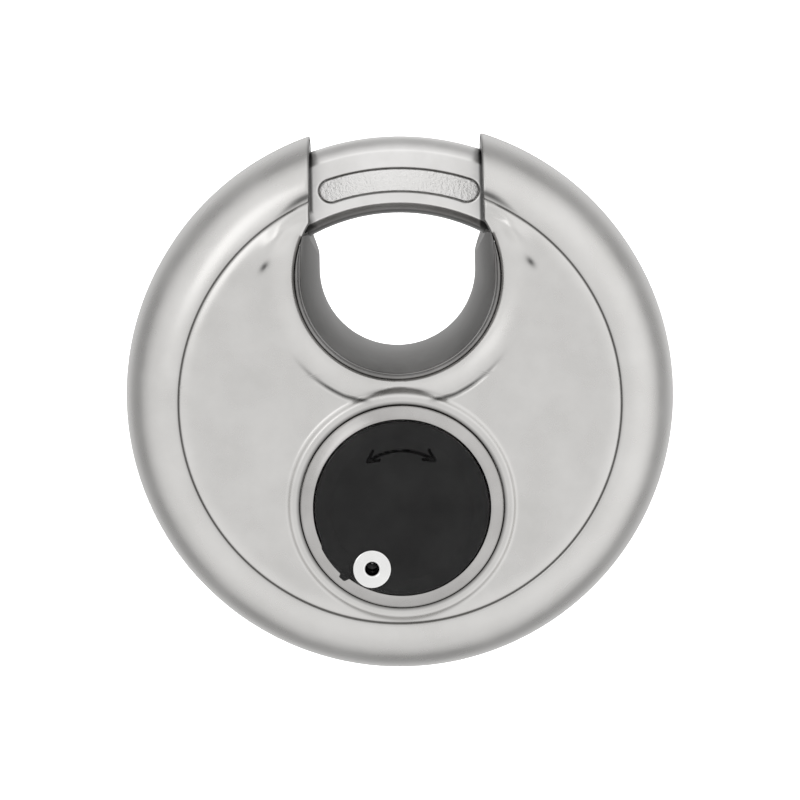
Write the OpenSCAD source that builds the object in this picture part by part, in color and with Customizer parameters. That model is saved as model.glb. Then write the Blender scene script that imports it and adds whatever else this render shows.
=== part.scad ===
// Round padlock with a shrouded, sliding shackle and a swinging keyhole cover.
// Built lying on its back (X right, Y up, Z towards the front) and then stood upright.

/* [Disc body] */
// Diameter of the body over the seam
disc_d = 70; // [68:0.5:72]
// Height of each flat face above the seam plane
face_h = 12.5; // [12:0.1:13]
// Thickness of the shells' sheet
sheet_t = 1.5; // [1.2:0.1:1.6]
// Radius of the crease between rim and face
crease_r = 27.9; // [27.5:0.1:28.5]
// Fullness of the rim's section, where 2 is an ellipse
rim_power = 2.5; // [2.2:0.1:2.8]

/* [Mouth] */
// Radius of the U at the faces
mouth_r = 12.9; // [12.5:0.1:13.2]
// Radius of the U halfway through, where it is narrowest
waist_r = 9.9; // [9.5:0.1:10.5]
// Height of the U's centre above the body's centre
mouth_y = 16.1; // [15.8:0.1:16.4]
// Width between the two lips at the top
neck_w = 21.8; // [21:0.1:22.5]

/* [Shackle] */
// Diameter of the shackle's bar
bar_d = 9.8; // [9.4:0.1:10]
// Radius of the ring that the bar follows
ring_r = 28.15; // [28:0.05:28.3]
// Angle from top centre to the nose, inside the right lip
nose_deg = 35.4; // [34:0.1:36]
// Angle from top centre, past the left lip, to the bar's other end
tail_deg = 160; // [158:1:164]
// How far the shackle turns to open
open_deg = 64; // [60:0.5:64]

/* [Lock cylinder] */
// Distance of the cylinder's axis below the body's centre
cylinder_drop = 12.8; // [12.6:0.1:13]
// Outer radius of the core
core_r = 6.6; // [6.5:0.05:6.7]
// Number of detainer discs
disc_count = 7; // [5:1:7]
// Distance of the crank pin from the cylinder's axis
crank_r = 9; // [8.8:0.1:9.2]

/* [Keyhole cover] */
// Radius of the cover
cover_r = 10.9; // [10.8:0.1:11.2]
// Thickness of the cover
cover_t = 1.4; // [1.2:0.1:1.6]
// Distance of the rivet from the cover's centre
rivet_offset = 8.4; // [8.2:0.1:8.5]
// Direction of the rivet from the cover's centre, from +X towards +Y
rivet_deg = 242.3; // [235:0.1:250]

/* [Hidden] */
$fn = 96;
disc_r = disc_d / 2;
bar_r = bar_d / 2;
cylinder_y = -cylinder_drop;
inner_h = face_h - sheet_t;

// The rim is a quarter of a full ellipse whose centre lies inside the crease
rim_centre_r = 26;
rim_steps = 14;
rim_drop = 0.45;

// Room round the moving bar, and a fit that lets one round part turn in another
bar_gap = 0.25;
run_gap = 0.05;
eps = 0.02;

// Liner of the mouth: its rim at the faces, and the straight legs above the U
liner_rim_r = mouth_r - 0.02;
liner_sag = mouth_r - 0.5 - waist_r;
liner_t = 1.2;
liner_h = face_h - 0.1;
liner_leg = 3.6;

// Flat on the front of the bar, with its long panel
flat_h = bar_r - 0.45;
pill_deg = 18.2;
pill_r = ring_r - 0.85;
pill_half = 1.62;
pill_floor_h = flat_h - 0.3;

// Pins that locate the two halves of the filling
guide_pin_spots = [[-20.5, 5], [20.5, 5], [-18.8, -9.4], [18.8, -9.4]];
guide_pin_r = 1.2;
guide_pin_half = 7.9;
cylinder_pin_r = 0.8;

// Stack of the lock cylinder, heights measured forwards from the seam plane
collar_r = 12.8;
collar_flange_r = 14.2;
collar_flange_h = inner_h - 1.05;
collar_floor_h = face_h - 0.15;
collar_edge_h = face_h + 0.95;
collar_top_h = face_h + 1.85;
collar_top_r = cover_r + 0.4;
collar_bore_r = 5.6;
boss_top_h = collar_top_h - 0.25;
lip_r = 14.4;
lip_h = face_h + 0.75;
housing_r = 9.4;
housing_top_h = collar_flange_h - 0.05;
housing_back_h = 0.75;
core_top_h = housing_top_h - 0.05;
core_back_h = -0.95;
cage_r = 5.3;
cage_floor_h = 0.2;
disc_t = 0.9;
spacer_t = 0.33;
stack_r = cage_r - 0.1;
stack_pitch = disc_t + spacer_t;
stack_top_h = cage_floor_h + disc_count * stack_pitch - spacer_t;
gate_w = 1.76;
gate_r = 4.3;
clip_t = 0.68;
key_r = 2.5;

// Crank arm, crank pin and fork, behind the cylinder
arm_t = 1.25;
arm_tip_r = 2.5;
arm_back_h = core_back_h - arm_t;
tenon_w = 5;
pin_r = 1.5;
pin_end_h = -4.8;
crank_rest_deg = 81;
fork_top_h = -2.5;
fork_back_h = 0.02 - bar_r;
fork_half_w = 4.6;
fork_inner_r = 14.4;
fork_slot_half = pin_r + 0.45;
fork_slot_end_r = cylinder_drop + crank_r + 0.1;
fork_rest_deg = 180 - open_deg / 2;

// Swinging cover and its rivet
cover_back_h = collar_top_h + 0.1;
cover_front_h = cover_back_h + cover_t;
cover_bevel = 2;
cover_edge_t = cover_t - 0.5;
rivet_shank_r = 1.25;
rivet_head_r = 2.4;
rivet_head_t = 0.35;
rivet_hole_r = 0.75;
rivet_tail_r = 1.8;
washer_t = 0.28;
arrow_r = 7.3;
arrow_deg = 37;
arrow_w = 0.55;
engraving = 0.3;

disc_names = [for (i = [1:disc_count]) str("disc_", i)];
spacer_names = [for (i = [1:disc_count - 1]) str("spacer_", i)];

// Stands the lying model upright, so that its front faces -Y
module upright() { rotate([90, 0, 0]) children(); }

// Moves to the lock cylinder's axis
module at_cylinder() { translate([0, cylinder_y, 0]) children(); }

// Moves to the rivet's axis
module at_rivet() {
    at_cylinder() rotate([0, 0, rivet_deg]) translate([rivet_offset, 0, 0]) children();
}

// A disc or a bore between two heights
module drum(r, low, high) { translate([0, 0, low]) cylinder(r = r, h = high - low); }

// Rim from the seam inwards to a given radius, a quarter of a superellipse: radius against height
function rim_points(a, b, end_r) =
    let (last = acos(pow((end_r - rim_centre_r) / a, rim_power / 2)))
    [for (i = [0:rim_steps])
        let (t = last * i / rim_steps)
        [rim_centre_r + a * pow(cos(t), 2 / rim_power), b * pow(sin(t), 2 / rim_power)]];

module half_body() {
    rotate_extrude() polygon(concat(
        rim_points(disc_r - rim_centre_r, face_h - rim_drop, crease_r),
        [[crease_r - 1.2, face_h - 0.12], [crease_r - 2.2, face_h], [0, face_h], [0, 0]]
    ));
}

// Space inside a half shell, or the filling that fits it when an inset is given
module half_inside(inset, low) {
    a = disc_r - rim_centre_r - sheet_t - inset;
    rotate_extrude() polygon(concat(
        [[0, low], [rim_centre_r + a, low]],
        rim_points(a, inner_h - inset, rim_centre_r),
        [[0, inner_h - inset]]
    ));
}

// The U with the neck above it, cut through from front to back
module mouth_cut(r, half_neck) {
    translate([0, mouth_y, 0]) drum(r, -face_h - 3, face_h + 3);
    translate([-half_neck, mouth_y, -face_h - 3]) cube([2 * half_neck, disc_r, 2 * face_h + 6]);
}

module half_shell() {
    difference() {
        half_body();
        half_inside(0, -1);
        mouth_cut(mouth_r, neck_w / 2);
    }
}

// The raised lip of the front shell round the lock cylinder
module cylinder_lip() {
    at_cylinder() rotate_extrude() polygon([
        [collar_r + 0.1, inner_h],
        [lip_r, inner_h],
        [lip_r + 0.5, face_h],
        [lip_r - 0.3, lip_h - 0.15],
        [lip_r - 0.8, lip_h],
        [collar_r + 0.1, lip_h - 0.1]
    ]);
}

module front_shell() {
    color("silver") upright() difference() {
        union() {
            half_shell();
            cylinder_lip();
        }
        at_cylinder() drum(collar_r + 0.1, 0, face_h + 3);
        translate([0, mouth_y, 0]) drum(mouth_r, 0, face_h + 3);
    }
}

module rear_shell() {
    color("silver") upright() mirror([0, 0, 1]) half_shell();
}

// Wall of the liner, waisted halfway through: distance outwards against height
function liner_bow(h) = liner_sag * pow(h / liner_h, 2);
liner_levels = [for (i = [-6:6]) liner_h * i / 6];
liner_wall = concat(
    [for (h = liner_levels) [waist_r + liner_bow(h), h]],
    [[liner_rim_r, liner_h], [liner_rim_r, inner_h - 1]],
    [for (i = [5:-1:-5]) let (h = (inner_h - 2) * i / 5) [waist_r + liner_t + liner_bow(h), h]],
    [[liner_rim_r, 1 - inner_h], [liner_rim_r, -liner_h]]
);

module opening_liner() {
    color("dimgray") upright() translate([0, mouth_y, 0]) difference() {
        union() {
            rotate([0, 0, 180]) rotate_extrude(angle = 180) polygon(liner_wall);
            for (side = [0, 1]) mirror([side, 0, 0])
                translate([0, liner_leg, 0]) rotate([90, 0, 0])
                    linear_extrude(height = liner_leg) polygon(liner_wall);
        }
        for (side = [0, 1]) mirror([side, 0, 0]) translate([waist_r, liner_leg - 1.4, -face_h])
            rotate([0, 0, 45]) translate([-4, 0, 0]) cube([6, 6, 2 * face_h]);
        difference() {
            drum(2 * mouth_r, -face_h, face_h);
            drum(liner_rim_r, -face_h - 1, face_h + 1);
        }
    }
}

// Ring-shaped space or bar between two angles counted anticlockwise from top centre
module ring_part(r, from_deg, to_deg) {
    rotate([0, 0, 90 + from_deg]) rotate_extrude(angle = to_deg - from_deg)
        translate([ring_r, 0]) circle(r = r);
}

// Flat ring sector between two radii, two angles and two heights
module sector(r0, r1, from_deg, to_deg, low, high) {
    rotate([0, 0, 90 + from_deg]) rotate_extrude(angle = to_deg - from_deg)
        translate([r0, low]) square([r1 - r0, high - low]);
}

// The die-cast filling, before it is split at the seam plane
module filling() {
    difference() {
        half_inside(0.15, 0);
        mouth_cut(mouth_r + 0.1, neck_w / 2 + 0.5);
        ring_part(bar_r + bar_gap, -nose_deg - 0.8, tail_deg + open_deg + 0.8);
        sector(ring_r, disc_r, -nose_deg - 0.8, tail_deg + open_deg + 0.8, -1, 1.2);
        for (p = guide_pin_spots) translate(p) drum(guide_pin_r + eps, -1, guide_pin_half + 0.1);
    }
}

module guide_pins() {
    color("gainsboro") upright()
        for (p = guide_pin_spots) translate(p) drum(guide_pin_r, -guide_pin_half, guide_pin_half);
}

module front_guide() {
    color("gray") upright() difference() {
        filling();
        at_cylinder() drum(housing_r + eps, -1, face_h);
        at_cylinder() drum(collar_flange_r + eps, housing_top_h, face_h);
        at_cylinder_pin() drum(cylinder_pin_r + eps, -1, face_h);
    }
}

// Space behind the cylinder where the crank arm and the fork swing
module crank_room() {
    at_cylinder() drum(crank_r + pin_r + 0.5, fork_back_h - 0.4, 1);
    half_swing = open_deg / 2 + 21;
    sector(fork_inner_r - 0.4, ring_r, 180 - half_swing, 180 + half_swing, fork_back_h - 0.4, 1);
}

module rear_guide() {
    color("gray") upright() difference() {
        mirror([0, 0, 1]) filling();
        crank_room();
    }
}

// Lug on the bar with the radial slot that the crank pin runs in
module fork() {
    rotate([0, 0, fork_rest_deg]) difference() {
        translate([-fork_half_w, fork_inner_r, fork_back_h])
            cube([2 * fork_half_w, ring_r - fork_inner_r, fork_top_h - fork_back_h]);
        translate([-fork_slot_half, 0, fork_back_h - 1])
            cube([2 * fork_slot_half, fork_slot_end_r, bar_d]);
        translate([0, fork_slot_end_r, 0]) drum(fork_slot_half, fork_back_h - 1, bar_r);
    }
}

// Shallow panel with round ends, sunk into the flat on the bar's front
module pill_recess() {
    sector(pill_r - pill_half, pill_r + pill_half, -pill_deg, pill_deg, pill_floor_h, bar_r + 1);
    for (a = [-pill_deg, pill_deg])
        rotate([0, 0, a]) translate([0, pill_r, 0]) drum(pill_half, pill_floor_h, bar_r + 1);
}

// Bent bar, with a pocket behind its inner side that the crank arm's tip swings into
module shackle() {
    color("lightgray") upright() union() {
        difference() {
            ring_part(bar_r, -nose_deg, tail_deg);
            drum(disc_r, flat_h, bar_r + 1);
            pill_recess();
            rotate([0, 0, fork_rest_deg]) translate([0, fork_slot_end_r, 0])
                drum(arm_tip_r + 0.45, -bar_r - 1, core_back_h + 0.3);
        }
        fork();
    }
}

// Bevelled ring with a sunk plate that carries the rivet
module cylinder_collar() {
    color("silver") upright() difference() {
        union() {
            at_cylinder() rotate_extrude() polygon([
                [collar_bore_r, collar_flange_h],
                [collar_flange_r, collar_flange_h],
                [collar_flange_r, inner_h - 0.12],
                [collar_r, inner_h - 0.12],
                [collar_r, collar_edge_h],
                [collar_top_r, collar_top_h],
                [collar_top_r - 0.25, collar_top_h],
                [collar_top_r - 0.25, collar_floor_h],
                [collar_bore_r, collar_floor_h]
            ]);
            at_rivet() drum(rivet_head_r + 0.3, collar_floor_h - eps, boss_top_h);
        }
        at_rivet() drum(rivet_shank_r + eps, collar_flange_h - 1, boss_top_h + 1);
        at_rivet() drum(rivet_tail_r + 0.1, collar_flange_h - 1, collar_flange_h + 0.9);
    }
}

module at_cylinder_pin() { at_cylinder() translate([0, housing_r, 0]) children(); }

module cylinder_pin() {
    color("gainsboro") upright() at_cylinder_pin() difference() {
        drum(cylinder_pin_r, 1.5, housing_top_h - 0.2);
        drum(cylinder_pin_r / 2, 0, face_h);
    }
}

// Fixed barrel, with the groove that the sidebar drops into when the lock is locked
module cylinder_housing() {
    color("goldenrod") upright() difference() {
        at_cylinder() drum(housing_r, housing_back_h, housing_top_h);
        at_cylinder() drum(core_r + run_gap, -1, face_h);
        at_cylinder() translate([0, core_r, 0]) rotate([0, 0, 45])
            translate([-0.7, -0.7, cage_floor_h + 0.2]) cube([1.4, 1.4, stack_top_h]);
        at_cylinder_pin() drum(cylinder_pin_r + eps, -1, face_h);
    }
}

// Turning cage with a slot for the sidebar and a square tenon for the crank arm
module core() {
    color("khaki") upright() at_cylinder() difference() {
        union() {
            drum(core_r, core_back_h, core_top_h);
            translate([-tenon_w / 2, -tenon_w / 2, arm_back_h]) cube([tenon_w, tenon_w, 2 * arm_t]);
        }
        drum(cage_r, cage_floor_h, face_h);
        translate([-gate_w / 2, 0, cage_floor_h + 0.3])
            cube([gate_w, core_r + 1, stack_top_h - cage_floor_h - 0.6]);
        difference() {
            drum(core_r + 1, housing_back_h - clip_t - 0.04, housing_back_h);
            drum(core_r - 0.6, -2, face_h);
        }
    }
}

// Half-round keyhole
module keyhole() {
    intersection() {
        drum(key_r, -1, face_h);
        translate([-key_r, -0.7, -1]) cube([2 * key_r, 2 * key_r, face_h + 1]);
    }
}

module drill_plate() {
    color("dimgray") upright() at_cylinder() difference() {
        drum(stack_r, stack_top_h + eps, core_top_h - 0.05);
        keyhole();
    }
}

// One detainer disc: a true gate at the top and two shallow false gates
module detainer_disc(index) {
    low = cage_floor_h + (index - 1) * stack_pitch;
    color("gold") upright() at_cylinder() difference() {
        drum(stack_r, low, low + disc_t);
        keyhole();
        translate([-gate_w / 2, gate_r, -1]) cube([gate_w, 2, face_h]);
        for (turn = [1, 2]) rotate([0, 0, 40 + 25 * index + 115 * turn])
            translate([-gate_w / 2, stack_r - 0.35, -1]) cube([gate_w, 2, face_h]);
    }
}

module spacer(index) {
    low = cage_floor_h + index * stack_pitch - spacer_t;
    color("gainsboro") upright() at_cylinder() difference() {
        drum(stack_r, low, low + spacer_t);
        drum(key_r + 0.3, -1, face_h);
        translate([-gate_w / 2, gate_r, -1]) cube([gate_w, 2, face_h]);
    }
}

// Bar lying in the discs' gates, with a bevelled outer edge
module sidebar() {
    low = cage_floor_h + 0.35;
    half = gate_w / 2 - 0.05;
    color("silver") upright() at_cylinder() translate([0, 0, low])
        linear_extrude(height = stack_top_h - cage_floor_h - 0.7) polygon([
            [-half, gate_r + 0.05],
            [half, gate_r + 0.05],
            [half, core_r - 0.7],
            [0.25, core_r - 0.15],
            [-0.25, core_r - 0.15],
            [-half, core_r - 0.7]
        ]);
}

// Snap ring whose gap leaves room for the sidebar
module core_clip() {
    color("dimgray") upright() at_cylinder() rotate([0, 0, 120]) rotate_extrude(angle = 300)
        translate([core_r - 0.58, housing_back_h - clip_t - 0.02]) square([1.9, clip_t]);
}

// Crank arm on the core's tenon, with the pin that runs in the shackle's fork
module driver() {
    eye_r = 4.9;
    color("gray") upright() at_cylinder() difference() {
        union() {
            drum(eye_r, arm_back_h, core_back_h);
            rotate([0, 0, 180 - crank_rest_deg]) {
                translate([0, crank_r, 0]) drum(arm_tip_r, arm_back_h, core_back_h);
                translate([0, crank_r, 0]) drum(pin_r, pin_end_h, core_back_h);
                translate([0, 0, arm_back_h]) linear_extrude(height = arm_t)
                    polygon([[0.6 - eye_r, 0], [eye_r - 0.6, 0], [arm_tip_r, crank_r], [-arm_tip_r, crank_r]]);
            }
        }
        translate([-tenon_w / 2 - eps, -tenon_w / 2 - eps, pin_end_h])
            cube([tenon_w + 2 * eps, tenon_w + 2 * eps, bar_d]);
    }
}

// Curved two-headed arrow cut into the cover
module arrow_engraving() {
    low = cover_front_h - engraving;
    sector(arrow_r - arrow_w / 2, arrow_r + arrow_w / 2, -arrow_deg, arrow_deg, low, cover_front_h + 1);
    for (side = [0, 1]) mirror([side, 0, 0]) rotate([0, 0, -arrow_deg]) translate([0, arrow_r, low])
        linear_extrude(height = 1) polygon([[1.7, -0.15], [-0.2, 0.85], [-0.2, -0.85]]);
}

// Flat ear on the cover's rim, ending in a small finger tab
module cover_ear() {
    function spot(turn, out) =
        let (a = rivet_deg + turn)
        [(cover_r + out) * cos(a), (cover_r + out) * sin(a)];
    translate([0, 0, cover_back_h]) linear_extrude(height = cover_edge_t) polygon([
        spot(-42, -0.3),
        spot(-36, 0.3),
        spot(-16.5, 0.4),
        spot(-16, 0.8),
        spot(-11.5, 0.8),
        spot(-11, -0.3),
        spot(-26, -2)
    ]);
}

// Round cover with a wide bevel
module keyhole_cover() {
    color("black") upright() difference() {
        at_cylinder() union() {
            rotate_extrude() polygon([
                [0, cover_back_h],
                [cover_r, cover_back_h],
                [cover_r, cover_back_h + cover_edge_t],
                [cover_r - cover_bevel, cover_front_h],
                [0, cover_front_h]
            ]);
            cover_ear();
            rotate([0, 0, rivet_deg]) translate([rivet_offset, 0, 0])
                drum(cover_r - rivet_offset, cover_back_h, cover_front_h);
        }
        at_cylinder() arrow_engraving();
        at_rivet() drum(rivet_shank_r + run_gap, 0, cover_front_h + 1);
    }
}

// Hollow rivet, flared behind the collar's plate
module cover_rivet() {
    tail_h = collar_flange_h + 0.05;
    color("white") upright() at_rivet() difference() {
        rotate_extrude() polygon([
            [0, tail_h],
            [rivet_tail_r, tail_h],
            [rivet_tail_r - 0.2, collar_flange_h + 0.85],
            [rivet_shank_r, collar_flange_h + 0.88],
            [rivet_shank_r, cover_front_h + eps],
            [rivet_head_r, cover_front_h + eps],
            [rivet_head_r - 0.15, cover_front_h + rivet_head_t],
            [0, cover_front_h + rivet_head_t]
        ]);
        drum(rivet_hole_r, 0, face_h + 9);
    }
}

module cover_washer() {
    color("gainsboro") upright() at_rivet() difference() {
        drum(rivet_head_r - 0.1, boss_top_h + eps, boss_top_h + eps + washer_t);
        drum(rivet_shank_r + eps, 0, face_h + 9);
    }
}

front_shell();
rear_shell();
opening_liner();
front_guide();
rear_guide();
guide_pins();
shackle();
cylinder_collar();
cylinder_housing();
cylinder_pin();
core();
drill_plate();
for (i = [1:disc_count]) detainer_disc(i);
for (i = [1:disc_count - 1]) spacer(i);
sidebar();
core_clip();
driver();
keyhole_cover();
cover_rivet();
cover_washer();
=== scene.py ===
import math
import bmesh
import bpy
import numpy as np
from mathutils import Matrix, Vector


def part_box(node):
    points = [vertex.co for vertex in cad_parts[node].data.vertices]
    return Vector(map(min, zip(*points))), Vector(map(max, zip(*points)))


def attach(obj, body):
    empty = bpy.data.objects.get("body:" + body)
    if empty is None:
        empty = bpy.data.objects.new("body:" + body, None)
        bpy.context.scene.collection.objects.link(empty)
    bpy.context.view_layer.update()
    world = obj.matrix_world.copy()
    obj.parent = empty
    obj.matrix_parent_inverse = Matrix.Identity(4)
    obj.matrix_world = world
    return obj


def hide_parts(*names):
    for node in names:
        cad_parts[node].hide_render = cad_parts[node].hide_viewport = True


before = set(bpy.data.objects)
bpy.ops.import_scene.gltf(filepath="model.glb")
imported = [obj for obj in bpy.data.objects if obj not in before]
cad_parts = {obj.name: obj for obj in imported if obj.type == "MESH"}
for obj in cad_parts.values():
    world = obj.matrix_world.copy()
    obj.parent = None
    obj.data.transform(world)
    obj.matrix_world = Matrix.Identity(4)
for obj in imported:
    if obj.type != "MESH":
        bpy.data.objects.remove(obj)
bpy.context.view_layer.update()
scene = bpy.context.scene

# The shapes below are worked out in millimetres, lying on their back: x to the right,
# y up the lock and h forwards from the seam plane. Stood up, y becomes Z and h becomes -Y.


def cadSpan(node):
    # lowest and highest corner of a CAD node in millimetres, in the order x, y, h
    low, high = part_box(node)
    lowest = np.array([low.x, low.z, -high.y]) * 1000
    highest = np.array([high.x, high.z, -low.y]) * 1000
    return lowest, highest


shellLow, shellHigh = cadSpan("front_shell")
linerLow, linerHigh = cadSpan("opening_liner")
collarLow, collarHigh = cadSpan("cylinder_collar")
coverLow, coverHigh = cadSpan("keyhole_cover")
rivetLow, rivetHigh = cadSpan("cover_rivet")
barLow, barHigh = cadSpan("shackle")

body = {
    "discR": shellHigh[0],  # over the seam
    "faceH": 12.5,
    "sheet": 1.5,
    "creaseR": 27.9,
    "rimCentreR": 26.0,  # centre of the rim's section
    "rimPower": 2.5,  # its fullness: 2 is an ellipse
    "innerRim": 7.5,  # width of the rim's inner wall
    "rimDrop": 0.45,  # the rim's top lies this far below the face
    "cylinderY": (collarLow[1] + collarHigh[1]) / 2,
}
mouth = {
    "rimR": linerHigh[0],  # the liner's rim
    "cutR": linerHigh[0] + 0.02,
    "centreY": linerLow[1] + linerHigh[0],
    "neckHalf": 10.9,
    "waistR": 9.9,
}


def gridCells(points, first):
    # one quad for each cell of a rows x columns grid of points
    rows, cols = points.shape[:2]
    index = np.arange(rows * cols).reshape(rows, cols) + first
    corners = (index[:-1, :-1], index[:-1, 1:], index[1:, 1:], index[1:, :-1])
    return np.stack(corners, axis=-1).reshape(-1, 4)


def makePiece(name, grids, material, bodyName, nodes, slot, sharpDeg=32, mergeMm=2e-3, marks=None):
    # several grids of (x, y, h) in mm become one closed mesh: shared edges are merged.
    # marks: {attribute: function of (x, y, h)}, such as painted shade in creases and the like
    cells, first = [], 0
    for grid in grids:
        cells.append(gridCells(grid, first))
        first += grid.shape[0] * grid.shape[1]
    points = np.concatenate([grid.reshape(-1, 3) for grid in grids])
    stood = np.stack([points[:, 0], -points[:, 2], points[:, 1]], axis=1) / 1000
    mesh = bpy.data.meshes.new(name)
    mesh.from_pydata(stood, [], np.concatenate(cells))
    bm = bmesh.new()
    bm.from_mesh(mesh)
    bmesh.ops.remove_doubles(bm, verts=bm.verts, dist=mergeMm / 1000)
    bmesh.ops.recalc_face_normals(bm, faces=bm.faces)
    openEdges = sum(1 for e in bm.edges if len(e.link_faces) != 2)
    bm.to_mesh(mesh)
    bm.free()
    for attribute, worth in (marks or {}).items():
        markPoints(mesh, attribute, worth)
    mesh.set_sharp_from_angle(angle=math.radians(sharpDeg))
    mesh.materials.append(material)
    piece = bpy.data.objects.new(name, mesh)
    scene.collection.objects.link(piece)
    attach(piece, bodyName)
    if nodes:
        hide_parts(*nodes)
    print(name, len(mesh.polygons), "faces,", openEdges, "open edges")
    return piece


def markPoints(mesh, attribute, worth):
    # stores worth(x, y, h) for every point, read back in the mm frame of the shapes
    place = np.empty(len(mesh.vertices) * 3, np.float32)
    mesh.vertices.foreach_get("co", place)
    x, z, y = place[0::3] * 1000, place[1::3] * -1000, place[2::3] * 1000
    layer = mesh.attributes.new(attribute, "FLOAT", "POINT")
    layer.data.foreach_set("value", np.clip(worth(x, y, z), 0, 1).astype(np.float32))


def makeTool(grids):
    # a closed helper mesh, only used to cut or add to a piece
    cells, first = [], 0
    for grid in grids:
        cells.append(gridCells(grid, first))
        first += grid.shape[0] * grid.shape[1]
    points = np.concatenate([grid.reshape(-1, 3) for grid in grids])
    stood = np.stack([points[:, 0], -points[:, 2], points[:, 1]], axis=1) / 1000
    mesh = bpy.data.meshes.new("tool")
    mesh.from_pydata(stood, [], np.concatenate(cells))
    bm = bmesh.new()
    bm.from_mesh(mesh)
    bmesh.ops.remove_doubles(bm, verts=bm.verts, dist=1e-6)
    bmesh.ops.recalc_face_normals(bm, faces=bm.faces)
    bm.to_mesh(mesh)
    bm.free()
    tool = bpy.data.objects.new("tool", mesh)
    scene.collection.objects.link(tool)
    return tool


def shapeWith(piece, tool, operation, sharpDeg=32):
    # joins a tool to a piece or cuts it away, and keeps the result as the piece's own mesh
    step = piece.modifiers.new("shape", "BOOLEAN")
    step.operation = operation
    step.object = tool
    step.solver = "EXACT"
    bpy.context.view_layer.update()
    shaped = bpy.data.meshes.new_from_object(piece.evaluated_get(bpy.context.evaluated_depsgraph_get()))
    piece.modifiers.remove(step)
    piece.data = shaped
    shaped.set_sharp_from_angle(angle=math.radians(sharpDeg))
    bpy.data.objects.remove(tool)


def drumGrid(x, y, radius, low, high, columns=64):
    # closed drum as one grid: pole, rim, rim, pole
    turn = np.linspace(0, 2 * math.pi, columns + 1)
    r = np.array([0, radius, radius, 0])[:, None]
    h = np.array([low, low, high, high])[:, None]
    return np.stack([x + r * np.cos(turn), y + r * np.sin(turn), h + 0 * turn], axis=-1)


def latheGrid(x, y, profile, columns):
    # a closed profile of (r, h) points turned about an upright axis at (x, y)
    profile = np.array(profile + profile[:1], float)
    turn = np.linspace(0, 2 * math.pi, columns + 1)
    r, h = profile[:, :1], profile[:, 1:]
    return np.stack([x + r * np.cos(turn), y + r * np.sin(turn), h + 0 * turn], axis=-1)


def bump(x, width):
    return np.exp(-((x / width) ** 2))


def ramp(x, low, high):
    # 0 below low, 1 above high, smooth between
    t = np.clip((x - low) / (high - low), 0, 1)
    return t * t * (3 - 2 * t)


def rollDrop(distance, radius):
    # how far a rounded edge has fallen at a distance inside it
    inward = np.clip(radius - distance, 0, radius)
    return radius - np.sqrt(radius**2 - inward**2)


def rowsAcross(length, near, far, count):
    # row positions from 0 to length: close rows near both ends, even ones between them
    length = np.asarray(length, float)[None, :]
    near = np.asarray(near)[:, None] * np.ones_like(length)
    left = length - near[-1:]
    far = np.asarray(far)[:, None] * np.minimum(1, left / (1.6 * far[0]))
    share = (np.arange(1, count + 1) / (count + 1))[:, None]
    middle = near[-1:] + (left - far[:1]) * share
    return np.concatenate([near, middle, length - far])


def nodesOf(name):
    material = bpy.data.materials.new(name)
    material.use_nodes = True
    tree = material.node_tree
    return material, tree, tree.nodes["Principled BSDF"]


def addNoise(tree, scale, detail=3.0, rough=0.55, stretch=None):
    coords = tree.nodes.new("ShaderNodeTexCoord")
    noise = tree.nodes.new("ShaderNodeTexNoise")
    noise.inputs["Scale"].default_value = scale
    noise.inputs["Detail"].default_value = detail
    noise.inputs["Roughness"].default_value = rough
    source = coords.outputs["Object"]
    if stretch:
        mapping = tree.nodes.new("ShaderNodeMapping")
        mapping.inputs["Scale"].default_value = stretch
        tree.links.new(source, mapping.inputs["Vector"])
        source = mapping.outputs["Vector"]
    tree.links.new(source, noise.inputs["Vector"])
    return noise


def addRange(tree, source, low, high, fromLow=0.3, fromHigh=0.7):
    span = tree.nodes.new("ShaderNodeMapRange")
    span.inputs["From Min"].default_value = fromLow
    span.inputs["From Max"].default_value = fromHigh
    span.inputs["To Min"].default_value = low
    span.inputs["To Max"].default_value = high
    tree.links.new(source, span.inputs["Value"])
    return span.outputs["Result"]


def addTint(tree, source, dark, light):
    tint = tree.nodes.new("ShaderNodeValToRGB")
    tint.color_ramp.elements[0].position = 0.3
    tint.color_ramp.elements[1].position = 0.7
    tint.color_ramp.elements[0].color = (*dark, 1)
    tint.color_ramp.elements[1].color = (*light, 1)
    tree.links.new(source, tint.inputs["Fac"])
    return tint.outputs["Color"]


def addBump(tree, shader, heights):
    # heights: (socket, strength, distance in mm), one Bump node after another
    normal = None
    for source, strength, distance in heights:
        bumpNode = tree.nodes.new("ShaderNodeBump")
        bumpNode.inputs["Strength"].default_value = strength
        bumpNode.inputs["Distance"].default_value = distance / 1000
        tree.links.new(source, bumpNode.inputs["Height"])
        if normal:
            tree.links.new(normal, bumpNode.inputs["Normal"])
        normal = bumpNode.outputs["Normal"]
    tree.links.new(normal, shader.inputs["Normal"])


def addPaintedShade(tree, colour, dark, amount):
    # paints shade: darkens the tint where the piece's painted-shade attribute says, broken up by a fine
    # noise
    mark = tree.nodes.new("ShaderNodeAttribute")
    mark.attribute_name = "paintedShade"
    speck = addNoise(tree, 3500, 2.0)
    uneven = tree.nodes.new("ShaderNodeMath")
    uneven.operation = "MULTIPLY"
    tree.links.new(mark.outputs["Fac"], uneven.inputs[0])
    tree.links.new(addRange(tree, speck.outputs["Fac"], amount * 0.95, amount), uneven.inputs[1])
    mix = tree.nodes.new("ShaderNodeMix")
    mix.data_type = "RGBA"
    tree.links.new(uneven.outputs["Value"], mix.inputs["Factor"])
    tree.links.new(colour, mix.inputs["A"])
    mix.inputs["B"].default_value = (*dark, 1)
    return mix.outputs["Result"]


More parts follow.
